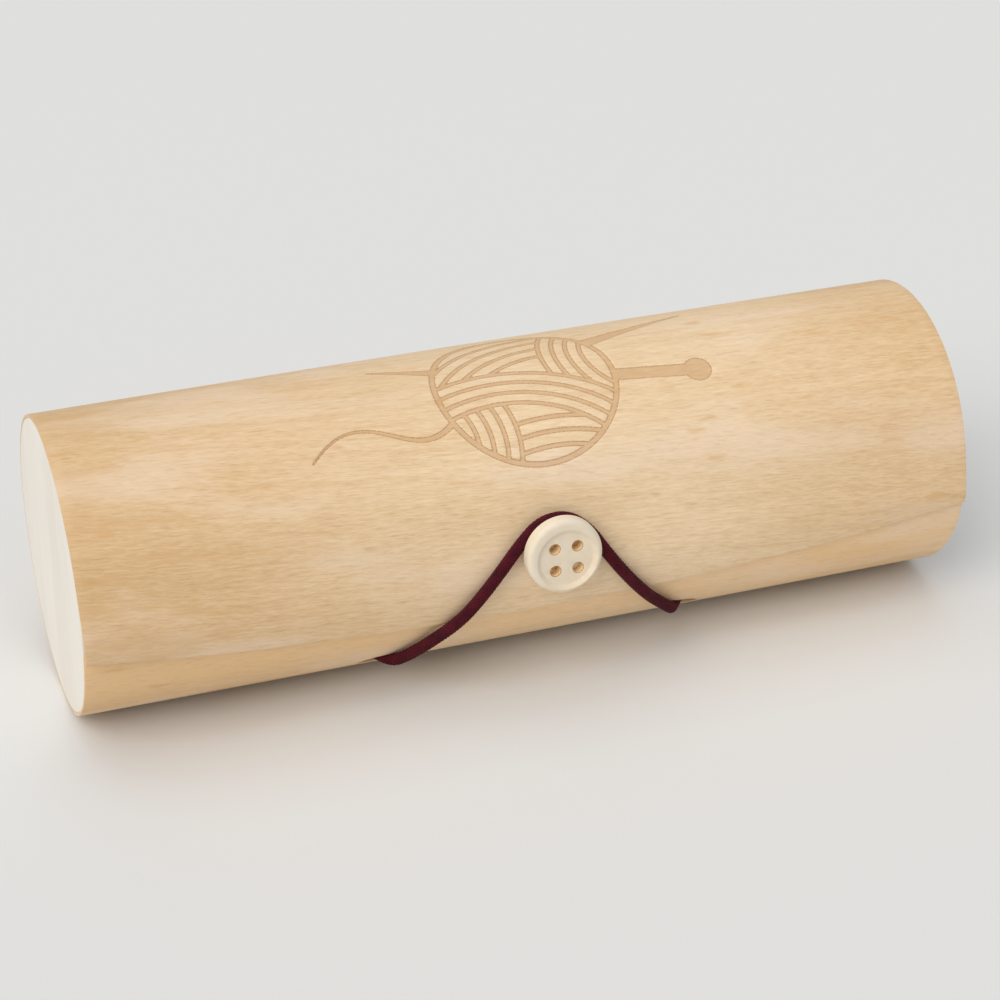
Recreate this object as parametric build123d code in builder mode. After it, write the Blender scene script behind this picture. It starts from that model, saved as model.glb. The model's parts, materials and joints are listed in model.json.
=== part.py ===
"""A round needle case of bent wood veneer.

Two turned discs close the ends. One sheet of veneer is glued round their rims and runs on over
the top as a springy lid, whose bowed front edge overlaps the sheet's own lower edge. A button
stands on the lid, and a loop of elastic cord from two slots in the case hooks round its post.

Millimetres, +Z up. The case lies along +X and the origin is the centre of the left end's face.
Directions in the cross-section are angles about the X axis, from the back (+Y, 0 degrees) over
the top (+Z, 90 degrees) to the front (180 degrees) and the floor (270 degrees).
"""

import math
import os

from build123d import *

# Driving dimensions
case_length = 213.0
case_radius = 35.0  # to the outside of the lid
veneer = 0.8  # thickness of the bent sheet
rim_gap = 0.2  # lid to the discs' rims, and lid to the veneer it overlaps
disc_thickness = 8.0
disc_ease = 0.5  # taken off the disc's inner corner

hinge_angle = 15.0  # the back line where the sheet stops being glued
back_pitch = 25.0  # each of the lid's strips behind the top line
front_pitch = 22.0  # each strip in front of it
strips_each_way = 3
case_edge_angle = 185.5  # the glued sheet's front edge, hidden by the lid
lip_angle = 201.4  # the lid's edge at the middle of the case
lip_end_drop = 4.2  # how far the lid's edge lies below the axis at the two ends
lift_start_angle = 166.0  # the lid leaves the discs here
lift_end_angle = 186.0  # and has cleared the glued sheet here
lip_spare = 3.0  # degrees of sheet past the lip, before the lip is cut

button_x = case_length / 2 + 2.6
button_angle = 173.2
button_radius = 9.0
button_thickness = 3.9
button_underside = 38.6  # from the case's axis
button_back_chamfer = 0.8
button_front_round = 1.2
dish_offset = (0.4, -0.8)  # from the button's middle, along the case and up its surface
dish_radius = 7.1
dish_depth = 0.9
dish_taper = 50.0  # slope of the dish's side, in degrees
hole_radius = 1.25
hole_spacing = 5.4
post_radius = 5.0
post_sink = 0.1  # below the lid's surface, so that its foot takes the lid's curve

cord_diameter = 3.0
slot_places = (-37.3, 38.9)  # from the middle of the case
slot_angle = 225.5
slot_lean = 20.0  # their upper ends lean towards the button
slot_length = 8.0
slot_width = 3.9
knot_radius = 3.0
knot_depth = 5.4  # from the cord's end to the middle of its knot

# Worked out
middle = case_length / 2
disc_radius = case_radius - veneer - rim_gap
sheet_radius = disc_radius + veneer  # outside of the glued sheet
cord_radius = cord_diameter / 2

# The loop's route: distance from the middle of the case, angle, distance from the axis. It leaves
# the left slot, lies on the case and the lid, goes round the button's post and comes back down.
loop_route = [
    (-38.3, 226.0, 33.6),
    (-35.6, 223.3, 36.4),
    (-32.0, 216.6, 36.9),
    (-26.9, 208.2, 37.1),
    (-20.9, 196.5, 38.1),
    (-16.2, 187.3, 38.0),
    (-10.9, 177.6, 37.4),
    (-6.2, 169.2, 37.0),
    (-1.2, 162.6, 36.9),
    (5.2, 161.8, 36.9),
    (10.2, 168.0, 37.0),
    (14.3, 178.2, 37.5),
    (19.8, 190.0, 38.2),
    (25.7, 201.4, 38.1),
    (30.8, 211.6, 37.1),
    (34.4, 217.2, 36.9),
    (37.3, 223.3, 36.4),
    (40.0, 226.0, 33.6),
]


def polar(radius, angle):
    """A point of the cross-section, as (y, z)."""
    return radius * math.cos(math.radians(angle)), radius * math.sin(math.radians(angle))


def route_point(along, angle, radius):
    """A point of the loop's route, in space."""
    y, z = polar(radius, angle)
    return Vector(middle + along, y, z)


def surface_plane(x, angle):
    """A plane through the axis at x that faces straight out of the case at this angle."""
    y, z = polar(1.0, angle)
    return Plane(origin=(x, 0, 0), x_dir=(1, 0, 0), z_dir=(0, y, z))


def lid_radius(angle):
    """Outside of the lid: the case's radius, then a smooth rise of one sheet over the glued edge."""
    part_way = (angle - lift_start_angle) / (lift_end_angle - lift_start_angle)
    part_way = min(max(part_way, 0.0), 1.0)
    return case_radius + veneer * part_way * part_way * (3 - 2 * part_way)


def finish(piece, label):
    """Names a finished piece and writes it to its own file."""
    piece.part.label = label
    export_step(piece.part, f"parts/{label}.step")


os.makedirs("parts", exist_ok=True)

# End discs: solid wood, flush with the sheet's ends, the inner corner eased to lead the sheet on
for side, face_x, inward in (("left", 0.0, 1), ("right", case_length, -1)):
    with BuildPart() as end_disc:
        with BuildSketch(Plane.YZ.offset(face_x)):
            Circle(disc_radius)
        extrude(amount=inward * disc_thickness)
        rims = end_disc.edges().filter_by(GeomType.CIRCLE).sort_by(Axis.X)
        chamfer(rims[-1] if inward > 0 else rims[0], disc_ease)
    finish(end_disc, f"{side}_end_disc")

# The glued part of the sheet: from its front edge round the floor side to the hinge line
with BuildPart() as case_veneer:
    with BuildSketch(Plane.YZ):
        with BuildLine():
            glued_arc = 360.0 + hinge_angle - case_edge_angle
            outer = CenterArc((0, 0), sheet_radius, case_edge_angle, glued_arc)
            inner = CenterArc((0, 0), disc_radius, case_edge_angle, glued_arc)
            Line(outer @ 0, inner @ 0)
            Line(outer @ 1, inner @ 1)
        make_face()
    extrude(amount=case_length)
    for along in slot_places:
        with BuildSketch(surface_plane(middle + along, slot_angle).offset(case_radius)):
            SlotOverall(slot_length, slot_width, rotation=math.copysign(slot_lean, -along))
        extrude(amount=-2 * slot_width, mode=Mode.SUBTRACT)
finish(case_veneer, "case_veneer")

# The free part of the sheet bends along its whole width, so it is made as narrow strips that
# turn about the lines where they meet
strip_lines = [hinge_angle + i * back_pitch for i in range(strips_each_way)]
strip_lines += [90.0 + i * front_pitch for i in range(strips_each_way + 1)]

for number, (start, end) in enumerate(zip(strip_lines, strip_lines[1:]), 1):
    with BuildPart() as lid_strip:
        with BuildSketch(Plane.YZ):
            with BuildLine():
                outer = CenterArc((0, 0), case_radius, start, end - start)
                inner = CenterArc((0, 0), case_radius - veneer, start, end - start)
                Line(outer @ 0, inner @ 0)
                Line(outer @ 1, inner @ 1)
            make_face()
        extrude(amount=case_length)
    finish(lid_strip, f"lid_strip_{number}")

# The last strip rises over the glued sheet's edge. It is cut from a sheet a little wider than it
# needs, along the bow of its lip.
arc_angles = [strip_lines[-1], lift_start_angle]
arc_angles += [(lift_start_angle + lift_end_angle) / 2, lift_end_angle, lip_angle + lip_spare]

with BuildPart() as lid_front:
    with BuildSketch(Plane.YZ):
        with BuildLine():
            for depth in (0.0, veneer):
                for a, b in zip(arc_angles, arc_angles[1:]):
                    ends = [polar(lid_radius(t) - depth, t) for t in (a, (a + b) / 2, b)]
                    ThreePointArc(*ends)
            for t in (arc_angles[0], arc_angles[-1]):
                Line(polar(lid_radius(t), t), polar(lid_radius(t) - veneer, t))
        make_face()
    extrude(amount=case_length)
    lip_drop = -polar(lid_radius(lip_angle), lip_angle)[1]
    with BuildSketch(Plane.XZ):
        with BuildLine():
            ThreePointArc((0, -lip_end_drop), (middle, -lip_drop), (case_length, -lip_end_drop))
            Polyline(
                (case_length, -lip_end_drop),
                (case_length, -case_radius),
                (0, -case_radius),
                (0, -lip_end_drop),
            )
        make_face()
    extrude(amount=2 * case_radius, mode=Mode.SUBTRACT)
finish(lid_front, "lid_front")

# Button post: a small wooden disc, hollowed underneath to sit on the curved lid
with BuildPart() as button_post:
    with BuildSketch(surface_plane(button_x, button_angle).offset(button_underside)):
        Circle(post_radius)
    extrude(amount=case_radius - post_sink - button_underside)
    add(lid_front.part, mode=Mode.SUBTRACT)
finish(button_post, "button_post")

# Button: a turned four-hole button, rounded at its rim. Its dish and its holes are cut together,
# a little off the middle.
button_plane = surface_plane(button_x, button_angle).offset(button_underside)
dish_plane = button_plane.offset(button_thickness)
dish_plane.origin += dish_plane.x_dir * dish_offset[0] + dish_plane.y_dir * dish_offset[1]
with BuildPart() as button:
    with BuildSketch(button_plane):
        Circle(button_radius)
    extrude(amount=button_thickness)
    faces = button.faces().sort_by(Axis(button_plane.origin, button_plane.z_dir))
    chamfer(faces[0].edges(), button_back_chamfer)
    fillet(faces[-1].edges(), button_front_round)
    with BuildSketch(dish_plane):
        Circle(dish_radius)
    extrude(amount=-dish_depth, taper=dish_taper, mode=Mode.SUBTRACT)
    with BuildSketch(dish_plane):
        with GridLocations(hole_spacing, hole_spacing, 2, 2):
            Circle(hole_radius)
    extrude(amount=-button_thickness, mode=Mode.SUBTRACT)
finish(button, "button")

# Elastic loop: a braided cord, straight runs joined by arcs
loop_points = [route_point(*p) for p in loop_route]
runs = [b - a for a, b in zip(loop_points, loop_points[1:])]
turns = [a.get_angle(b) for a, b in zip(runs, runs[1:])]
bend_radii = [
    0.45 * min(a.length, b.length) / math.tan(math.radians(turn) / 2)
    for a, b, turn in zip(runs, runs[1:], turns)
]
print("loop radii", [round(r, 1) for r in bend_radii])

with BuildPart() as elastic_loop:
    with BuildLine() as loop_path:
        FilletPolyline(*loop_points, radius=bend_radii)
    with BuildSketch(Plane(origin=loop_points[0], z_dir=runs[0])):
        Circle(cord_radius)
    sweep()
loop_length = loop_path.wires()[0].length
print("loop length", round(loop_length, 1))
volume_ratio = elastic_loop.part.volume / (math.pi * cord_radius**2 * loop_length)
print("volume over section times length", round(volume_ratio, 4))
finish(elastic_loop, "elastic_loop")

# Knots: each end of the cord runs on through its slot to a knot that it can't be pulled back by
for side, end, direction in (
    ("left", loop_points[0], -runs[0].normalized()),
    ("right", loop_points[-1], runs[-1].normalized()),
):
    with BuildPart() as knot:
        with BuildSketch(Plane(origin=end, z_dir=direction)):
            Circle(cord_radius)
        extrude(amount=knot_depth)
        with Locations(end + direction * knot_depth):
            Sphere(knot_radius)
    finish(knot, f"{side}_elastic_knot")
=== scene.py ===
import json
import math

import bmesh
import bpy
import numpy as np
from mathutils import Matrix, Vector


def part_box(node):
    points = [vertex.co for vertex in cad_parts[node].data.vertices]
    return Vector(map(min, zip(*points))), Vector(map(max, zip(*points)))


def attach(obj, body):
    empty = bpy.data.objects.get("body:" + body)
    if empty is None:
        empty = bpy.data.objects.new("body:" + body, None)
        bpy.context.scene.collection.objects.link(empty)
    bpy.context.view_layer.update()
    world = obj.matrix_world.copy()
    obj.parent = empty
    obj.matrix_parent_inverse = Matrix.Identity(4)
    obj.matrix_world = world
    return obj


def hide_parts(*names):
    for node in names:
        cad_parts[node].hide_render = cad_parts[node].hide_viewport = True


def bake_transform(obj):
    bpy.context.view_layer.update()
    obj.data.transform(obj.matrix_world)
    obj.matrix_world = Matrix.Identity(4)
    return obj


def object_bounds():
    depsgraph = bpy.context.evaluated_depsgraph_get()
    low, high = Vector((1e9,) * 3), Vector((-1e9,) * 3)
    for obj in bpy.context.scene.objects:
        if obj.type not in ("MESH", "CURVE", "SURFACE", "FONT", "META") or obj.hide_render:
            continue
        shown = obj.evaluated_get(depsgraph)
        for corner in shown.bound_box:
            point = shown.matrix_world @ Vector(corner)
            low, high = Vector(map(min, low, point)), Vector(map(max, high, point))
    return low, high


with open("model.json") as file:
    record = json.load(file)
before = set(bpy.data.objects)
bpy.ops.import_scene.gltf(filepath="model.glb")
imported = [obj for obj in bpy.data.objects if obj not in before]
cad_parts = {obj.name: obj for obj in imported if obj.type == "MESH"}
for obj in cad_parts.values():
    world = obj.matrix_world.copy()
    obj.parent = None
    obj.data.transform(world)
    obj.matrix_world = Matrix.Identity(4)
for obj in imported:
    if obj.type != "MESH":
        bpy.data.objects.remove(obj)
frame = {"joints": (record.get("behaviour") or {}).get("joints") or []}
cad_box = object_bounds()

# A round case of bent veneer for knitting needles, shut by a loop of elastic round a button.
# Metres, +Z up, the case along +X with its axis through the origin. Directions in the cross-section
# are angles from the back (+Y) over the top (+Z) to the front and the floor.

# ---------------------------------------------------------------------------------------------
# The table: a plain pale top in an even light, under a wide soft lamp overhead and a second one in
# front and to the left. The eye is in front, a little to the left, and looks down on the case.

case_length = cad_box[1].x
case_middle = Vector((case_length / 2, 0, 0))

table_size = 8.0
table_corners = [
    (x * table_size / 2, y * table_size / 2, cad_box[0].z)
    for x, y in ((-1, -1), (1, -1), (1, 1), (-1, 1))
]
table_mesh = bpy.data.meshes.new("table")
table_mesh.from_pydata(table_corners, [], [(0, 1, 2, 3)])
table = bpy.data.objects.new("table", table_mesh)
bpy.context.scene.collection.objects.link(table)
table_paint = bpy.data.materials.new("table_paint")
table_paint.use_nodes = True
paint_sockets = table_paint.node_tree.nodes["Principled BSDF"].inputs
paint_sockets["Base Color"].default_value = (0.80, 0.795, 0.782, 1)
paint_sockets["Roughness"].default_value = 0.9
paint_sockets["Specular IOR Level"].default_value = 0.1
table_mesh.materials.append(table_paint)

sky_light = 0.42  # what it casts on the case
sky_seen = 0.76  # how bright it is itself, much like the table
sky_blue = (0.94, 0.985, 1.04, 1)
sky = bpy.data.worlds.new("sky")
sky.use_nodes = True
sky_nodes = sky.node_tree
looking = sky_nodes.nodes.new("ShaderNodeLightPath")
strength = sky_nodes.nodes.new("ShaderNodeMapRange")
strength.inputs["To Min"].default_value = sky_light
strength.inputs["To Max"].default_value = sky_seen
sky_nodes.links.new(looking.outputs["Is Camera Ray"], strength.inputs["Value"])
sky_nodes.links.new(strength.outputs[0], sky_nodes.nodes["Background"].inputs["Strength"])
sky_nodes.nodes["Background"].inputs["Color"].default_value = sky_blue
bpy.context.scene.world = sky
bpy.context.scene.view_settings.view_transform = "Standard"

lamp_white = (1.0, 0.975, 0.935)
for name, towards, power, softness in (
    ("overhead_lamp", (-0.12, 0.10, 1.0), 0.72, 60),
    ("front_lamp", (-0.58, -0.44, 0.69), 1.40, 40),
):
    lamp = bpy.data.lights.new(name, "SUN")
    lamp.energy = power
    lamp.color = lamp_white
    lamp.angle = math.radians(softness)
    lamp_object = bpy.data.objects.new(name, lamp)
    lamp_object.rotation_mode = "QUATERNION"
    lamp_object.rotation_quaternion = Vector(towards).to_track_quat("Z", "Y")
    bpy.context.scene.collection.objects.link(lamp_object)

eye_azimuth = math.radians(-18.906)
eye_elevation = math.radians(30.595)
eye_distance = 0.67508
eye_lens = 102.21
eye_aim = case_middle + Vector((0.00072, -0.00168, -0.0023))
eye_back = Vector((
    math.sin(eye_azimuth) * math.cos(eye_elevation),
    -math.cos(eye_azimuth) * math.cos(eye_elevation),
    math.sin(eye_elevation),
))
camera = bpy.data.objects.new("camera", bpy.data.cameras.new("camera"))
camera.data.lens = eye_lens
camera.data.clip_start = 0.01
camera.location = eye_aim + eye_back * eye_distance
camera.rotation_mode = "QUATERNION"
camera.rotation_quaternion = (-eye_back).to_track_quat("-Z", "Y")
bpy.context.scene.collection.objects.link(camera)
bpy.context.scene.camera = camera

# ---------------------------------------------------------------------------------------------
# The end discs: two rounds of pale solid wood, cut with the grain upright and sanded smooth. The
# veneer is glued round their rims, flush with their outer faces.


class Wire:
    """The output of a material's node. Arithmetic on it adds Math nodes."""

    def __init__(self, finish, socket):
        self.finish = finish
        self.socket = socket

    def maths(self, operation, *others):
        sockets = dict(enumerate((self, *others)))
        return self.finish.node("ShaderNodeMath", {"operation": operation}, sockets)

    def __add__(self, other):
        return self.maths("ADD", other)

    def __sub__(self, other):
        return self.maths("SUBTRACT", other)

    def __mul__(self, other):
        return self.maths("MULTIPLY", other)

    def __rsub__(self, other):
        return self * -1.0 + other

    __radd__ = __add__
    __rmul__ = __mul__

    def step(self, low, high):
        """0 below low, 1 above high and a smooth rise between; low may be the larger."""
        settings = {"interpolation_type": "SMOOTHSTEP", "clamp": True}
        return self.finish.node("ShaderNodeMapRange", settings, {"Value": self, 1: low, 2: high})


class Finish:
    """A material whose nodes are added one by one. fixed is what is the same all over it."""

    def __init__(self, name, **fixed):
        self.material = bpy.data.materials.new(name)
        self.material.use_nodes = True
        self.shader = self.material.node_tree.nodes["Principled BSDF"]
        for socket, value in fixed.items():
            self.shader.inputs[socket.replace("_", " ")].default_value = value

    def node(self, kind, settings=None, sockets=None, output=0):
        made = self.material.node_tree.nodes.new(kind)
        for name, value in (settings or {}).items():
            setattr(made, name, value)
        for name, value in (sockets or {}).items():
            if isinstance(value, Wire):
                self.material.node_tree.links.new(value.socket, made.inputs[name])
            else:
                made.inputs[name].default_value = value
        return Wire(self, made.outputs[output])

    def noise(self, place, scale, detail=2.0, roughness=0.5, shift=0.0):
        """Noise between 0 and 1, stretched by a scale for each axis."""
        mapping = {"Vector": place, "Scale": scale, "Location": (shift, shift, shift)}
        stretched = self.node("ShaderNodeMapping", {}, mapping)
        sockets = {"Vector": stretched, "Scale": 1.0, "Detail": detail, "Roughness": roughness}
        return self.node("ShaderNodeTexNoise", {}, sockets)

    def mix(self, share, first, second):
        """Two colours mixed; each is a colour or a wire."""
        sockets = {"Factor": share, 6: first, 7: second}
        return self.node("ShaderNodeMix", {"data_type": "RGBA"}, sockets, output=2)

    def split(self, place):
        """The three numbers of a vector."""
        return [self.node("ShaderNodeSeparateXYZ", {}, {0: place}, output=i) for i in range(3)]

    def feed(self, **surface):
        """Links what varies over the surface; bump is a height in metres."""
        links = self.material.node_tree.links
        for socket, wire in surface.items():
            if socket == "bump":
                sockets = {"Strength": 1.0, "Distance": 1.0, "Height": wire}
                wire = self.node("ShaderNodeBump", {}, sockets)
                socket = "Normal"
            links.new(wire.socket, self.shader.inputs[socket.replace("_", " ")])


def pale_wood(name, light, dark, grain_scale, grain_height):
    """Smooth pale solid wood with the grain running where grain_scale is small."""
    finish = Finish(name, IOR=1.45)
    place = finish.node("ShaderNodeTexCoord", output="Object")
    bands = finish.noise(place, [s * 0.12 for s in grain_scale], detail=3.0)
    lines = finish.noise(place, grain_scale, detail=4.0, roughness=0.6, shift=3.1)
    pores = finish.noise(place, [s * 3.5 for s in grain_scale], detail=2.0, shift=7.7)
    tone = bands.step(0.35, 0.75) * 0.55 + lines.step(0.4, 0.8) * 0.35
    tone = tone + pores.step(0.6, 0.8) * 0.18
    finish.feed(
        Base_Color=finish.mix(tone, light, dark),
        Roughness=tone * 0.12 + 0.55,
        bump=(lines + pores * 0.5) * -grain_height,
    )
    return finish


crease = math.radians(35)  # edges that turn further than this stay sharp


def solid(name, points, faces):
    """A closed mesh from its corners and faces, with every face turned outwards."""
    mesh = bpy.data.meshes.new(name)
    mesh.from_pydata([tuple(p) for p in points], [], faces)
    work = bmesh.new()
    work.from_mesh(mesh)
    bmesh.ops.recalc_face_normals(work, faces=work.faces)
    work.to_mesh(mesh)
    work.free()
    made = bpy.data.objects.new(name, mesh)
    bpy.context.scene.collection.objects.link(made)
    mesh.shade_smooth()
    mesh.set_sharp_from_angle(angle=crease)
    return made


def turned(name, profile, place, segments=180):
    """A piece turned on a lathe. profile is (radius, height) from pole to pole, place a matrix."""
    points, rings = [], []
    for radius, height in profile:
        count = segments if radius > 0 else 1
        rings.append([len(points) + i for i in range(count)])
        for i in range(count):
            turn = math.tau * i / count
            corner = Vector((radius * math.cos(turn), radius * math.sin(turn), height))
            points.append(place @ corner)
    faces = []
    for a, b in zip(rings, rings[1:]):
        for i in range(segments):
            corners = [a[i % len(a)], a[(i + 1) % len(a)], b[(i + 1) % len(b)], b[i % len(b)]]
            faces.append(tuple(dict.fromkeys(corners)))
    return solid(name, points, faces)


def rounded(radius, height, size, start, end, steps=5):
    """Points of a profile's rounded corner about a centre, from one direction to another."""
    turns = [math.radians(start + (end - start) * i / steps) for i in range(steps + 1)]
    return [(radius + size * math.cos(t), height + size * math.sin(t)) for t in turns]


disc_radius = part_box("left_end_disc")[1].z
disc_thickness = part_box("left_end_disc")[1].x
disc_corner = 0.00025  # rounding of the outer edge
disc_ease = 0.0005  # chamfer of the inner edge

disc_wood = pale_wood(
    "disc_wood",
    light=(0.95, 0.895, 0.81, 1),
    dark=(0.86, 0.78, 0.665, 1),
    grain_scale=(300.0, 420.0, 26.0),
    grain_height=0.00004,
)
disc_profile = [(0.0, 0.0), (disc_radius * 0.5, 0.0)]
disc_profile += rounded(disc_radius - disc_corner, disc_corner, disc_corner, -90, 0)
disc_profile += [(disc_radius, disc_thickness - disc_ease)]
disc_profile += [(disc_radius - disc_ease, disc_thickness)]
disc_profile += [(disc_radius * 0.5, disc_thickness), (0.0, disc_thickness)]
for side, face_x, inward in (("left", 0.0, 1), ("right", case_length, -1)):
    lying = Matrix.Translation((face_x, 0, 0)) @ Matrix.Rotation(math.radians(90 * inward), 4, "Y")
    disc = turned(f"{side}_disc", disc_profile, lying)
    disc.data.materials.append(disc_wood.material)
    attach(disc, "case")
    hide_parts(f"{side}_end_disc")

# ---------------------------------------------------------------------------------------------
# The glued sheet: the lower part of one sheet of rotary-cut veneer, grain along the case, bent
# round the discs and glued to them. Two pointed slots near its front edge let the elastic through.

veneer = 0.0008
sheet_radius = disc_radius + veneer  # outside of the sheet where it lies on the discs
bow_out = 0.00022  # the sheet stands out a little between the discs
edge_round = 0.00024
case_edge_angle = math.radians(185.5)  # the sheet's front edge, under the lid
hinge_angle = math.radians(15)  # the back line where the glue stops
slot_places = (-0.0373, 0.0389)  # from the middle of the case
slot_angle = math.radians(225.5)
slot_length = 0.0098
slot_width = 0.0036
slot_lean = math.radians(20)  # their upper ends lean towards the button
slot_scorch = 0.0003  # the slots' cut faces are as brown as a burn this far from its edge
burn_depth = 0.0001
burn_slope = 0.0003  # a burn's side is this wide
unmarked = -0.01  # far outside any burn


def bowed(angle, x, radius):
    """radius, and a little more at the middle of the case except where it lies on the table."""
    along = 2 * x / case_length - 1
    lifted = 1 - np.maximum(0, -np.sin(angle)) ** 4
    return radius + bow_out * (1 - along**2) * lifted


def round_the_axis(x, angle, radius):
    """Points round the case's axis, from grids of positions along it, angles and radii."""
    return np.stack([x + 0 * radius, radius * np.cos(angle), radius * np.sin(angle)], axis=-1)


def give_grain(mesh, flat, mark):
    """Each point's place on the flat sheet and depth in it, and how far inside a burn it is."""
    mesh.attributes.new("grain", "FLOAT_VECTOR", "POINT")
    mesh.attributes["grain"].data.foreach_set("vector", np.asarray(flat, np.float32).ravel())
    mesh.attributes.new("engraving", "FLOAT", "POINT")
    mesh.attributes["engraving"].data.foreach_set("value", np.asarray(mark, np.float32).ravel())


def bent_sheet(name, x, angle, radius, free_edges, engraving):
    """A closed piece of bent veneer. x, angle and radius are grids over its outside, one row for
    each line along the case. free_edges names the sides that are real edges, which are eased;
    the others meet the next piece. engraving is how far inside a burn each point lies."""
    rows, columns = angle.shape
    burn = np.clip(engraving / burn_slope + 0.5, 0, 1)
    outside = round_the_axis(x, angle, radius - burn_depth * burn)
    inside = round_the_axis(x, angle, radius - veneer)
    points = np.concatenate([outside.reshape(-1, 3), inside.reshape(-1, 3)])
    number = np.arange(rows * columns).reshape(rows, columns)
    under = number + rows * columns
    faces = []
    for grid in (number, under):
        corners = [grid[:-1, :-1], grid[:-1, 1:], grid[1:, 1:], grid[1:, :-1]]
        faces.append(np.stack(corners, axis=-1).reshape(-1, 4))
    borders = {
        "start": (number[0], under[0]),
        "end": (number[-1], under[-1]),
        "left": (number[:, 0], under[:, 0]),
        "right": (number[:, -1], under[:, -1]),
    }
    for top, bottom in borders.values():
        faces.append(np.stack([top[:-1], top[1:], bottom[1:], bottom[:-1]], axis=-1))
    made = solid(name, points.tolist(), np.concatenate(faces).tolist())
    mesh = made.data
    flat = np.stack([x + 0 * angle, angle * sheet_radius, 0 * angle], axis=-1).reshape(-1, 3)
    flat = np.concatenate([flat, flat + (0, 0, veneer)])
    mark = np.concatenate([engraving.ravel(), np.full(rows * columns, unmarked)])
    give_grain(mesh, flat, mark)
    work = bmesh.new()
    work.from_mesh(mesh)
    work.verts.ensure_lookup_table()
    eased = []
    for side in free_edges:
        for line in borders[side]:
            for a, b in zip(line, line[1:]):
                eased.append(work.edges.get((work.verts[a], work.verts[b])))
    bmesh.ops.bevel(work, geom=eased, offset=edge_round, segments=2, profile=0.6, affect="EDGES")
    work.to_mesh(mesh)
    work.free()
    mesh.shade_smooth()
    mesh.set_sharp_from_angle(angle=crease)
    return made


def birch_veneer():
    """Bare birch veneer. Its grain, pores, stains and burns follow the flat sheet."""
    finish = Finish("birch_veneer", IOR=1.45)
    grain_slant, grain_waver = 0.09, 0.005
    place = finish.node("ShaderNodeAttribute", {"attribute_name": "grain"}, output="Vector")
    x, along_bend, depth = finish.split(place)
    waver = finish.noise(place, (9.0, 22.0, 0.0), detail=1.0) - 0.5
    slanted = along_bend - x * grain_slant + waver * grain_waver
    wavy = finish.node("ShaderNodeCombineXYZ", {}, {0: x, 1: slanted, 2: depth})
    clouds = finish.noise(wavy, (16.0, 45.0, 0.0), detail=2.0, shift=2.0)
    streaks = finish.noise(wavy, (30.0, 460.0, 0.0), detail=4.0, roughness=0.6, shift=5.0)
    ripples = finish.noise(wavy, (150.0, 1350.0, 0.0), detail=2.0, roughness=0.6, shift=7.0)
    fibres = finish.noise(wavy, (340.0, 2700.0, 0.0), detail=3.0, roughness=0.6, shift=9.0)
    pores = finish.noise(wavy, (280.0, 5200.0, 0.0), detail=2.0, shift=1.3)
    pale_patches = finish.noise(wavy, (17.0, 60.0, 0.0), detail=3.0, shift=21.0)
    chatter = finish.noise(place, (240.0, 26.0, 0.0), detail=2.0, shift=4.0)
    stains = finish.noise(wavy, (85.0, 300.0, 0.0), detail=2.0, shift=12.0)
    # Painted shade: the veneer darkens towards both ends of the case and in a band just under the
    # lid's lip.
    left_end, right_end = x.step(0.110, 0.0), x.step(0.150, case_length)
    below_lip = along_bend.step(-0.080, -0.098)
    painted_end_and_lip_shade = left_end * 0.56 + right_end * 0.42 + below_lip * 0.16
    tone = clouds.step(0.3, 0.75) * 0.24 + streaks.step(0.35, 0.75) * 0.22 + painted_end_and_lip_shade
    tone = tone + ripples.step(0.38, 0.68) * 0.20 + fibres.step(0.36, 0.68) * 0.26
    tone = tone + (chatter - 0.5) * 0.12
    light, dark = (0.98, 0.76, 0.50, 1), (0.74, 0.475, 0.235, 1)
    warm, pale = (1.0, 0.67, 0.35, 1), (0.95, 0.755, 0.57, 1)
    pore_brown, stain_brown = (0.47, 0.26, 0.10, 1), (0.74, 0.42, 0.17, 1)
    pale_cut_edge_and_highlight = (0.86, 0.74, 0.55, 1)
    burnt_brown, rim_brown = (0.64, 0.36, 0.16, 1), (0.36, 0.16, 0.055, 1)
    colour = finish.mix(tone, light, dark)
    colour = finish.mix(along_bend.step(-0.078, -0.096) * 0.6, colour, warm)
    colour = finish.mix(pale_patches.step(0.48, 0.68) * 0.45, colour, pale)
    colour = finish.mix(pores.step(0.58, 0.74) * 0.26, colour, pore_brown)
    colour = finish.mix(stains.step(0.63, 0.76) * 0.50, colour, stain_brown)
    # The sheet's cut edges and inside face are paler, the cut wood's own tone; along the eased
    # outer edges this is also a painted highlight.
    colour = finish.mix(depth.step(0.1 * veneer, 0.25 * veneer) * 0.35, colour, pale_cut_edge_and_highlight)
    engraved = finish.node("ShaderNodeAttribute", {"attribute_name": "engraving"}, output="Fac")
    burnt = engraved.step(0.00001, 0.00009)
    rim = engraved.step(-0.00006, 0.0001) * engraved.step(0.00042, 0.00016)
    dots = finish.noise(place, (2600.0, 2600.0, 0.0), detail=1.0, shift=6.0).step(0.35, 0.6)
    colour = finish.mix(burnt * 0.55, colour, burnt_brown)
    colour = finish.mix(rim * (dots * 0.50 + 0.15), colour, rim_brown)
    finish.feed(
        Base_Color=colour,
        Roughness=tone * 0.1 + burnt * 0.1 + 0.52,
        bump=fibres * 0.00003 + pores.step(0.58, 0.74) * -0.00003 + chatter * 0.00002,
    )
    return finish


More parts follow.
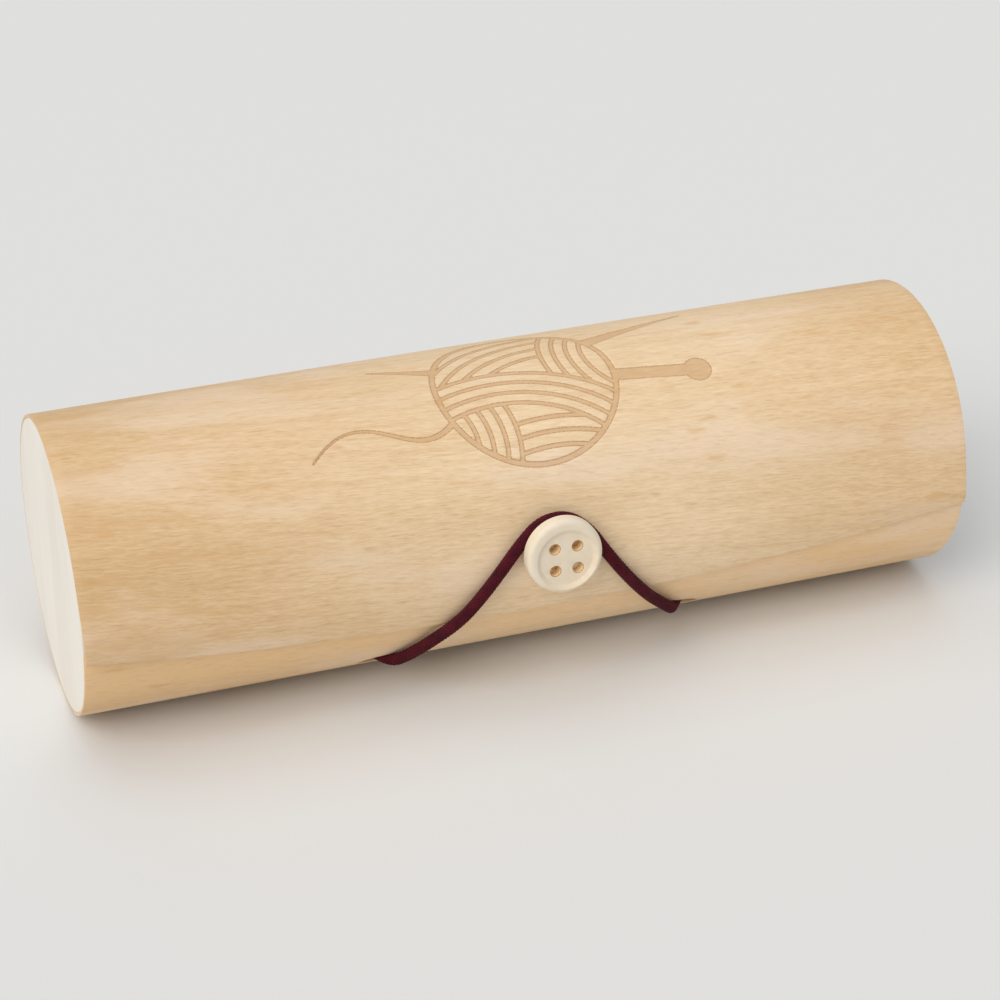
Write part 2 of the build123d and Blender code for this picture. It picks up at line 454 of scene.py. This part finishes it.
def slot_cutter(x, lean):
    """A bar with the outline of a pointed slot, standing through the sheet."""
    middle = round_the_axis(x, slot_angle, 1.0) - (x, 0, 0)
    out = Vector(middle)
    out.x = 0
    along = Matrix.Rotation(lean, 3, out) @ Vector((1, 0, 0))
    across = out.cross(along)
    half, side = slot_length / 2, slot_width / 2
    arc_radius = (half**2 + side**2) / (2 * side)
    steps = 12
    outline = []
    for sign in (-1, 1):
        for i in range(steps):
            t = half * math.sin(math.pi * (i / steps - 0.5)) * -sign
            outline.append((t, sign * (math.sqrt(arc_radius**2 - t**2) - (arc_radius - side))))
    past = 0.002  # the bar stands this far past the sheet
    heights = (disc_radius - past, disc_radius + veneer / 2, sheet_radius + past)
    count = len(outline)
    points, faces = [], []
    for height in heights:
        points += [Vector((x, 0, 0)) + out * height + along * a + across * b for a, b in outline]
    for ring in range(len(heights) - 1):
        for i in range(count):
            a, b = ring * count + i, ring * count + (i + 1) % count
            faces.append((a, b, b + count, a + count))
    faces += [tuple(range(count)), tuple(range(2 * count, 3 * count))]
    cutter = solid("slot_cutter", points, faces)
    flat = [(p.x, (slot_angle - math.tau) * sheet_radius, veneer / 2) for p in points]
    give_grain(cutter.data, flat, [slot_scorch] * len(points))
    return cutter


def carved(piece, cutters):
    """piece with the cutters taken away, as a plain mesh."""
    for cutter in cutters:
        cut = piece.modifiers.new("cut", "BOOLEAN")
        cut.operation = "DIFFERENCE"
        cut.solver = "EXACT"
        cut.object = cutter
    depsgraph = bpy.context.evaluated_depsgraph_get()
    shaped = bpy.data.meshes.new_from_object(piece.evaluated_get(depsgraph))
    piece.modifiers.clear()
    piece.data = shaped
    for cutter in cutters:
        bpy.data.objects.remove(cutter)
    shaped.shade_smooth()
    shaped.set_sharp_from_angle(angle=crease)
    return piece


glued_angles = np.linspace(case_edge_angle - math.tau, hinge_angle, 128)
coarse_x = np.linspace(0, case_length, 108)
grid_x, grid_angle = np.meshgrid(coarse_x, glued_angles)
glued_sheet = bent_sheet(
    "glued_sheet",
    grid_x,
    grid_angle,
    bowed(grid_angle, grid_x, sheet_radius),
    ("start", "left", "right"),
    np.full(grid_x.shape, unmarked),
)
slots = [slot_cutter(case_length / 2 + a, math.copysign(slot_lean, -a)) for a in slot_places]
glued_sheet = carved(glued_sheet, slots)
veneer_finish = birch_veneer()
glued_sheet.data.materials.clear()
glued_sheet.data.materials.append(veneer_finish.material)

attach(glued_sheet, "case")
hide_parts("case_veneer")

# ---------------------------------------------------------------------------------------------
# The lid: the rest of the same sheet, free from the back line on. It springs round the discs, runs
# over the glued sheet's front edge and ends in a bowed lip. A ball of yarn is burnt into it.

joints = {j["name"]: j for j in frame["joints"]}
lid_bodies = ["case"] + [f"lid_{k}" for k in range(1, 7)] + ["lid_front"]
lid_joints = ["lid_open"] + [f"lid_bend_{k}" for k in range(2, 8)]
bend_lines = [math.atan2(joints[j]["pos_m"][2], joints[j]["pos_m"][1]) for j in lid_joints]
lift_start = math.radians(166)  # the lid leaves the discs here
lift_end = math.radians(186)  # and has cleared the glued sheet here
lid_lift = veneer + 0.0002
lip_end_drop = 0.0042  # the lip below the axis at the two ends
lip_drop = -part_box("lid_front")[0].z  # and at the middle
corner_start = math.radians(160)  # the left corner is sprung from here
corner_end = math.radians(180)
corner_length = 0.060
corner_lift = 0.0013

ball_x = 0.0037  # the ball's middle, from the middle of the case
ball_down = 0.0105  # and round the bend from the top line towards the front
ball_radius = 0.0213
line_width = 0.0013
outline_width = 0.00156
drawing_left, drawing_right = -0.0565, 0.0495  # how far it reaches from the ball's middle
drawing_back, drawing_front = -0.0245, 0.0225


def rise(angle, start, end):
    """0 before start, 1 after end and a smooth rise between."""
    part = np.clip((angle - start) / (end - start), 0, 1)
    return part * part * (3 - 2 * part)


def lid_radius(angle, x):
    """Outside of the lid: close round the discs, then up over the edge of the glued sheet. Its
    left corner has sprung a little and stands off the disc."""
    sprung = rise(angle, corner_start, corner_end) * np.clip(1 - x / corner_length, 0, 1) ** 2
    lifted = lid_lift * rise(angle, lift_start, lift_end)
    return bowed(angle, x, sheet_radius + lifted + corner_lift * sprung)


def lip_angle(x):
    """The lip is one long arc, lowest at the middle of the case."""
    sag = lip_drop - lip_end_drop
    bow_radius = ((case_length / 2) ** 2 + sag**2) / (2 * sag)
    fall = np.sqrt(bow_radius**2 - (x - case_length / 2) ** 2) - (bow_radius - sag)
    return math.pi + np.arcsin((lip_end_drop + fall) / (sheet_radius + lid_lift))


def yarn_ball(x, angle):
    """How far inside the burnt lines each point of the lid lies, in metres, below 0 outside."""
    along = x - case_length / 2 - ball_x
    up = -((angle - math.pi / 2) * sheet_radius - ball_down)

    def from_point(cx, cy):
        return np.hypot(along - cx, up - cy)

    def arcs(cx, cy, radii, within):
        """Strands wound about one centre, kept within a part of the ball."""
        away = np.min([abs(from_point(cx, cy) - r) for r in radii], axis=0) - line_width / 2
        return np.maximum(away, within)

    def tapered(points, widths):
        """A line through points whose width changes from one to the next."""
        found = []
        for (ax, ay), (bx, by), wa, wb in zip(points, points[1:], widths, widths[1:]):
            dx, dy = bx - ax, by - ay
            t = np.clip(((along - ax) * dx + (up - ay) * dy) / (dx * dx + dy * dy), 0, 1)
            away = np.hypot(along - ax - t * dx, up - ay - t * dy)
            found.append(away - (wa + (wb - wa) * t) / 2)
        return np.min(found, axis=0)

    ball = from_point(0, 0) - ball_radius
    outline = abs(ball) - outline_width / 2
    band = from_point(-0.008, -0.038)
    above = np.maximum(ball, 0.042 - band)
    below = np.maximum(ball, band - 0.0328)
    right_turn = from_point(0.030, 0.006) - 0.0235
    left_turn = from_point(-0.034, -0.014) - 0.0285
    strands = [
        outline,
        arcs(-0.008, -0.038, (0.042, 0.0389, 0.0358, 0.0328), ball),
        arcs(0.030, 0.006, (0.0235, 0.0203, 0.0171, 0.0139), above),
        arcs(0.008, -0.020, (0.0285, 0.0320, 0.0355, 0.0390), np.maximum(above, -right_turn)),
        arcs(-0.034, -0.014, (0.0285, 0.0253, 0.0221, 0.0189), below),
        arcs(0.002, -0.055, (0.0375, 0.0410, 0.0445), np.maximum(below, -left_turn)),
    ]
    tail_steps = 25
    t = np.linspace(0, 1, tail_steps)[:, None]
    bends = np.array([(-0.0195, -0.0080), (-0.032, -0.019), (-0.038, 0.004), (-0.0535, -0.0125)])
    tail = (1 - t) ** 3 * bends[0] + 3 * t * (1 - t) ** 2 * bends[1]
    tail = tail + 3 * t**2 * (1 - t) * bends[2] + t**3 * bends[3]
    strands.append(np.maximum(tapered(tail, np.linspace(0.0017, 0.0007, tail_steps)), -ball))
    needles = [
        tapered([(0.012, 0.009), (0.0455, 0.0190)], (0.0044, 0.0006)),
        tapered([(0.012, -0.001), (0.0390, -0.0040)], (0.0036, 0.0036)),
        from_point(0.0412, -0.0043) - 0.0034,
        tapered([(-0.012, 0.006), (-0.0340, 0.0130)], (0.0036, 0.0006)),
    ]
    strands += [np.maximum(needle, -ball) for needle in needles]
    return -np.min(strands, axis=0)


def lines_between(low, high, coarse, fine, fine_low, fine_high):
    """Positions from low to high, close together where the drawing is."""
    stops = sorted({low, high, *(s for s in (fine_low, fine_high) if low < s < high)})
    found = [low]
    for a, b in zip(stops, stops[1:]):
        cell = fine if fine_low <= (a + b) / 2 <= fine_high else coarse
        found += list(np.linspace(a, b, max(2, round((b - a) / cell)) + 1)[1:])
    return np.array(found)


fine_cell, coarse_cell = 0.00034, 0.0025
fine_turn, coarse_turn = fine_cell / sheet_radius, math.radians(1.5)
lip_rows = 40
burn_left = case_length / 2 + ball_x + drawing_left
burn_right = case_length / 2 + ball_x + drawing_right
burn_back = math.pi / 2 + (ball_down + drawing_back) / sheet_radius
burn_front = math.pi / 2 + (ball_down + drawing_front) / sheet_radius
fine_x = lines_between(0, case_length, coarse_cell, fine_cell, burn_left, burn_right)
seams = [bend_lines[0]] + [(a + b) / 2 for a, b in zip(bend_lines, bend_lines[1:])]

for k, seam in enumerate(seams):
    last = k == len(seams) - 1
    if last:
        share = np.linspace(0, 1, lip_rows)[:, None]
        grid_x = np.repeat(coarse_x[None, :], lip_rows, axis=0)
        grid_angle = seam + (lip_angle(grid_x) - seam) * share
        turn_over = 2 * bend_lines[-1] - seam
    else:
        turn_over = seams[k + 1]
        angles = lines_between(seam, turn_over, coarse_turn, fine_turn, burn_back, burn_front)
        touched = seam < burn_front and turn_over > burn_back
        grid_x, grid_angle = np.meshgrid(fine_x if touched else coarse_x, angles)
    sheet = bent_sheet(
        f"lid_sheet_{k + 1}",
        grid_x,
        grid_angle,
        lid_radius(grid_angle, grid_x),
        ("left", "right", "end") if last else ("left", "right"),
        yarn_ball(grid_x, grid_angle),
    )
    sheet.data.materials.append(veneer_finish.material)
    ends = [round_the_axis(case_length / 2, a, sheet_radius) for a in (seam, turn_over)]
    lid_bodies[k + 1]
    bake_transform(sheet)
    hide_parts("lid_front" if last else f"lid_strip_{k + 1}")

# ---------------------------------------------------------------------------------------------
# The button and its post: a turned four-hole button of pale wood, its dish cut a little off the
# middle, glued to a small wooden disc that stands on the lid and leaves room for the elastic.

button_low, button_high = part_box("button")
button_middle = (button_low + button_high) / 2
button_out = Vector((0, button_middle.y, button_middle.z)).normalized()
button_up = button_out.cross(Vector((1, 0, 0)))
button_radius = (button_high.x - button_low.x) / 2
button_thickness = 0.0039
button_underside = math.hypot(button_middle.y, button_middle.z) - button_thickness / 2
button_place = Matrix((
    (1, button_up.x, button_out.x, button_middle.x),
    (0, button_up.y, button_out.y, button_out.y * button_underside),
    (0, button_up.z, button_out.z, button_out.z * button_underside),
    (0, 0, 0, 1),
))
back_round = 0.0008
front_round = 0.0012
dish_offset = (0.0004, -0.0008)  # along the case and up the button's face
dish_floor = 0.0030  # above the underside
dish_floor_radius = 0.0061
dish_lip_radius = 0.0075
dish_steps = 16
hole_radius = 0.00125
hole_spacing = 0.0054
hole_flare = 0.00022  # how much wider the holes are at their edges
post_radius = 0.005
post_sink = 0.0002
cutter_spare = 0.001  # cutters stand this far past the button
hair = 0.00002  # a cut goes this much further than its face, to leave no film of wood

button_profile = [(0.0, 0.0), (button_radius * 0.5, 0.0)]
button_profile += rounded(button_radius - back_round, back_round, back_round, -90, 0)
front_centre = (button_radius - front_round, button_thickness - front_round)
button_profile += rounded(*front_centre, front_round, 0, 90, 10)
button_profile += [(0.0, button_thickness)]
button = turned("turned_button", button_profile, button_place)

cutter_top = button_thickness + cutter_spare
dish_profile = [(0.0, dish_floor)]
for i in range(dish_steps + 1):
    share = i / dish_steps
    dish_profile.append((
        dish_floor_radius + (dish_lip_radius - dish_floor_radius) * share,
        dish_floor + (button_thickness + hair - dish_floor) * rise(share, 0, 1),
    ))
dish_profile += [(dish_lip_radius, cutter_top), (0.0, cutter_top)]
dish_place = button_place @ Matrix.Translation((*dish_offset, 0))
cutters = [turned("dish_cutter", dish_profile, dish_place)]

flared_radius = hole_radius + hole_flare
hole_profile = [(0.0, -cutter_spare), (flared_radius, -cutter_spare)]
hole_profile += [(flared_radius, -hair / 2), (hole_radius, hole_flare)]
for i in range(7):
    turn = math.pi / 2 * i / 6
    height = dish_floor + hair - hole_flare * (1 - math.sin(turn))
    hole_profile.append((hole_radius + hole_flare * (1 - math.cos(turn)), height))
hole_profile += [(flared_radius, cutter_top), (0.0, cutter_top)]
for across in (-1, 1):
    for up in (-1, 1):
        aside = Matrix.Translation((across * hole_spacing / 2, up * hole_spacing / 2, 0))
        cutters.append(turned("hole_cutter", hole_profile, dish_place @ aside, 48))
button = carved(button, cutters)

button_wood = pale_wood(
    "button_wood",
    light=(0.90, 0.78, 0.61, 1),
    dark=(0.80, 0.62, 0.41, 1),
    grain_scale=(420, 60, 420),
    grain_height=0.00002,
)
drilled_wood = pale_wood(
    "drilled_wood",
    light=(1.0, 0.80, 0.50, 1),
    dark=(0.92, 0.66, 0.36, 1),
    grain_scale=(900, 900, 900),
    grain_height=0.00001,
)
# A darker brown for the flared rims of the button's holes.
dark_hole_rim_wood = pale_wood(
    "dark_hole_rim_wood",
    light=(0.58, 0.33, 0.13, 1),
    dark=(0.40, 0.19, 0.06, 1),
    grain_scale=(900, 900, 900),
    grain_height=0.00001,
)


def wood_at(corners):
    """Which wood a face of the button shows: plain 0, drilled 1 or a hole's dark brown edge 2."""
    aside = [(abs(c.x - dish_offset[0]), abs(c.y - dish_offset[1])) for c in corners]
    farthest = max(math.hypot(a - hole_spacing / 2, b - hole_spacing / 2) for a, b in aside)
    if farthest > hole_radius + hole_flare * 1.05:
        return 0
    in_front = min(c.z for c in corners) > dish_floor / 2
    return 2 if farthest > hole_radius * 1.01 and in_front else 1


into_button = button_place.inverted()
button.data.materials.clear()
for wood in (button_wood, drilled_wood, dark_hole_rim_wood):
    button.data.materials.append(wood.material)
for face in button.data.polygons:
    corners = [into_button @ button.data.vertices[i].co for i in face.vertices]
    face.material_index = wood_at(corners)
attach(button, "lid_front")
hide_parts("button")

post_place = button_place @ Matrix.Translation((0, 0, -button_underside))
post_profile = [(0.0, 0.0), (post_radius * 0.4, 0.0), (post_radius * 0.8, 0.0), (post_radius, 0.0)]
post_profile += [(post_radius, button_underside), (0.0, button_underside)]
post = turned("glued_post", post_profile, post_place, 96)
for corner in post.data.vertices:  # its foot takes the lid's curve
    local = post_place.inverted() @ corner.co
    if local.z < sheet_radius / 2:
        reach = sheet_radius
        for _ in range(3):
            local.z = math.sqrt(reach**2 - local.y**2)
            corner.co = post_place @ local
            angle = math.atan2(corner.co.z, corner.co.y) % math.tau
            reach = lid_radius(angle, corner.co.x) - post_sink
post.data.materials.append(button_wood.material)
post.data.materials.append(drilled_wood.material)
for face in post.data.polygons:  # its top shows through the button's holes
    at_top = (post_place.inverted() @ face.center).z > button_underside - hair
    face.material_index = 1 if at_top else 0
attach(post, "lid_front")
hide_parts("button_post")

# ---------------------------------------------------------------------------------------------
# The elastic: a round cord of rubber threads in a braided maroon cover. Its ends go through the
# slots and are knotted inside the case, and the loop between them hooks round the button's post.

knot_depth = 0.0054  # from the loop's end to the middle of its knot
knot_size = 0.00052
knot_steps = 24
knot_overlap = 0.0004  # its cord begins this far inside the loop's end
knot_turn = 0.002  # and starts to turn here
loop_route = [  # distance from the middle of the case, angle, distance from the axis (mm)
    (-36.9, 226.2, 33.6),
    (-34.5, 223.6, 36.4),
    (-31.4, 216.9, 36.9),
    (-26.9, 208.2, 37.1),
    (-20.9, 196.5, 38.1),
    (-16.2, 187.3, 38.0),
    (-10.9, 177.6, 37.4),
    (-6.2, 169.2, 37.0),
    (-1.2, 162.6, 36.9),
    (5.2, 161.8, 36.9),
    (10.2, 168.0, 37.0),
    (14.3, 178.2, 37.5),
    (19.8, 190.0, 38.2),
    (25.7, 201.4, 38.1),
    (30.8, 211.6, 37.1),
    (33.4, 217.2, 36.9),
    (35.4, 223.0, 36.4),
    (37.8, 226.0, 33.6),
]
loop_points = [
    Vector(round_the_axis(case_length / 2 + along / 1000, math.radians(turn), radius / 1000))
    for along, turn, radius in loop_route
]


def smooth_line(name, points, curve=None, cyclic=False):
    """A new curve with one smooth line along the points, or one more such line in a curve."""
    curve = curve or bpy.data.curves.new(name, "CURVE")
    curve.dimensions = "3D"
    line = curve.splines.new("NURBS")
    line.points.add(len(points) - 1)
    for point, place in zip(line.points, points):
        point.co = (*place, 1)
    line.use_cyclic_u = cyclic
    line.order_u = 3
    line.use_endpoint_u = not cyclic
    line.resolution_u = 12
    return curve


def braid_tree():
    """Two sets of threads that wind opposite ways along a line, over and under each other."""
    tree = bpy.data.node_groups.new("braid", "GeometryNodeTree")
    tree.interface.new_socket("Geometry", in_out="INPUT", socket_type="NodeSocketGeometry")
    for name, kind, value in (
        ("Threads each way", "NodeSocketInt", 12),
        ("Winding radius", "NodeSocketFloat", 0.00113),
        ("Over and under", "NodeSocketFloat", 0.00012),
        ("Thread radius", "NodeSocketFloat", 0.00025),
        ("Turn per metre", "NodeSocketFloat", 520.0),
        ("Sample length", "NodeSocketFloat", 0.00017),
        ("Thread sides", "NodeSocketInt", 5),
        ("Core sides", "NodeSocketInt", 12),
    ):
        tree.interface.new_socket(name, in_out="INPUT", socket_type=kind).default_value = value
    tree.interface.new_socket("Cover", in_out="INPUT", socket_type="NodeSocketMaterial")
    tree.interface.new_socket("Geometry", in_out="OUTPUT", socket_type="NodeSocketGeometry")

    def add(kind, settings, *inputs):
        made = tree.nodes.new(kind)
        for name, value in settings.items():
            setattr(made, name, value)
        for socket, value in inputs:
            if isinstance(value, bpy.types.NodeSocket):
                tree.links.new(value, made.inputs[socket])
            else:
                made.inputs[socket].default_value = value
        return made.outputs

    def maths(operation, *values):
        return add("ShaderNodeMath", {"operation": operation}, *enumerate(values))[0]

    def vectors(operation, *inputs):
        return add("ShaderNodeVectorMath", {"operation": operation}, *inputs)[0]

    def thick(path, sides, radius):
        """Each line of a path as a closed round bar."""
        round_ring = (("Resolution", sides), ("Radius", radius))
        ring = add("GeometryNodeCurvePrimitiveCircle", {}, *round_ring)[0]
        swept = (("Curve", path), ("Profile Curve", ring), ("Fill Caps", True))
        return add("GeometryNodeCurveToMesh", {}, *swept)[0]

    given = add("NodeGroupInput", {})
    line = add(
        "GeometryNodeResampleCurve", {"mode": "LENGTH"}, ("Curve", given["Geometry"]),
        ("Length", given["Sample length"]),
    )[0]
    copies = add(
        "GeometryNodeDuplicateElements", {"domain": "SPLINE"}, ("Geometry", line),
        ("Amount", given["Threads each way"]),
    )
    along = add("GeometryNodeSplineParameter", {})["Length"]
    normal = add("GeometryNodeInputNormal", {})["Normal"]
    tangent = add("GeometryNodeInputTangent", {})["Tangent"]
    side = vectors("CROSS_PRODUCT", (0, tangent), (1, normal))
    wound = maths("MULTIPLY", along, given["Turn per metre"])
    share = maths("DIVIDE", copies["Duplicate Index"], given["Threads each way"])
    start = maths("MULTIPLY", share, math.tau)
    wave = maths("COSINE", maths("MULTIPLY", wound, given["Threads each way"]))
    sway = maths("MULTIPLY", wave, given["Over and under"])
    joined = tree.nodes.new("GeometryNodeJoinGeometry")
    for direction in (1.0, -1.0):
        turn = maths("ADD", maths("MULTIPLY", wound, direction), start)
        reach = maths("ADD", maths("MULTIPLY", sway, direction), given["Winding radius"])
        parts = []
        for vector, part in ((normal, "COSINE"), (side, "SINE")):
            amount = maths("MULTIPLY", maths(part, turn), reach)
            parts.append(vectors("SCALE", (0, vector), ("Scale", amount)))
        offset = vectors("ADD", *enumerate(parts))
        moved = (("Geometry", copies["Geometry"]), ("Offset", offset))
        threads = add("GeometryNodeSetPosition", {}, *moved)[0]
        yarns = thick(threads, given["Thread sides"], given["Thread radius"])
        tree.links.new(yarns, joined.inputs[0])
    core = thick(line, given["Core sides"], given["Winding radius"])
    tree.links.new(core, joined.inputs[0])
    smooth = add("GeometryNodeSetShadeSmooth", {}, ("Geometry", joined.outputs[0]))[0]
    real = add("GeometryNodeRealizeInstances", {}, ("Geometry", smooth))[0]
    dressed = (("Geometry", real), ("Material", given["Cover"]))
    add("NodeGroupOutput", {}, ("Geometry", add("GeometryNodeSetMaterial", {}, *dressed)[0]))
    return tree


def cover_finish():
    """The braided maroon cover: dull threads with a soft sheen and a few paler specks, a painted
    highlight on the fibres.
    """
    maroon, dark_maroon = (0.098, 0.0035, 0.011, 1), (0.052, 0.002, 0.007, 1)
    highlight_speck = (0.16, 0.035, 0.05, 1)
    finish = Finish(
        "maroon_braid",
        Roughness=0.85,
        Sheen_Weight=0.06,
        Sheen_Roughness=0.5,
        Specular_IOR_Level=0.2,
    )
    place = finish.node("ShaderNodeTexCoord", output="Object")
    fuzz = finish.noise(place, (5200.0, 5200.0, 5200.0), detail=2.0)
    patches = finish.noise(place, (420.0, 420.0, 420.0), detail=3.0, shift=3.0)
    colour = finish.mix(patches.step(0.3, 0.75), maroon, dark_maroon)
    # Painted highlight: a few paler specks over the threads.
    colour = finish.mix(fuzz.step(0.66, 0.8) * 0.3, colour, highlight_speck)
    finish.feed(Base_Color=colour, bump=fuzz * 0.00003)
    return finish


braid = braid_tree()
maroon_braid = cover_finish()


def braided(name, curve):
    """The braid along a curve's lines, as a plain mesh."""
    line = bpy.data.objects.new(name + "_line", curve)
    bpy.context.scene.collection.objects.link(line)
    threads = line.modifiers.new("braid", "NODES")
    threads.node_group = braid
    for item in braid.interface.items_tree:
        if item.in_out == "INPUT" and item.name == "Cover":
            threads[item.identifier] = maroon_braid.material
    depsgraph = bpy.context.evaluated_depsgraph_get()
    mesh = bpy.data.meshes.new_from_object(line.evaluated_get(depsgraph))
    bpy.data.objects.remove(line)
    made = bpy.data.objects.new(name, mesh)
    bpy.context.scene.collection.objects.link(made)
    return made


for side, end, before in (
    ("left", loop_points[0], loop_points[1]),
    ("right", loop_points[-1], loop_points[-2]),
):
    inward = (end - before).normalized()
    lump = end + inward * knot_depth
    leading = [end - inward * knot_overlap, end + inward * knot_turn, lump]
    curve = smooth_line(f"{side}_knot", leading)
    face_on = inward.to_track_quat("Z", "Y")
    ring = []
    for i in range(knot_steps):  # a trefoil, the line of an overhand knot
        t = math.tau * i / knot_steps
        flat = (math.sin(t) + 2 * math.sin(2 * t), math.cos(t) - 2 * math.cos(2 * t))
        ring.append(lump + face_on @ Vector((*flat, -math.sin(3 * t))) * knot_size)
    smooth_line(f"{side}_knot", ring, curve, cyclic=True)
    knotted = braided(f"{side}_tied_knot", curve)
    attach(knotted, "case")
    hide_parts(f"{side}_elastic_knot")

loop_curve = smooth_line("loop", loop_points)
plain_line = bpy.data.objects.new("loop_line", loop_curve)
centre_line = [tuple(v.co) for v in bpy.data.meshes.new_from_object(plain_line).vertices]
bpy.data.objects.remove(plain_line)
loop = braided("braided_loop", loop_curve)
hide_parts("elastic_loop")
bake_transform(loop)
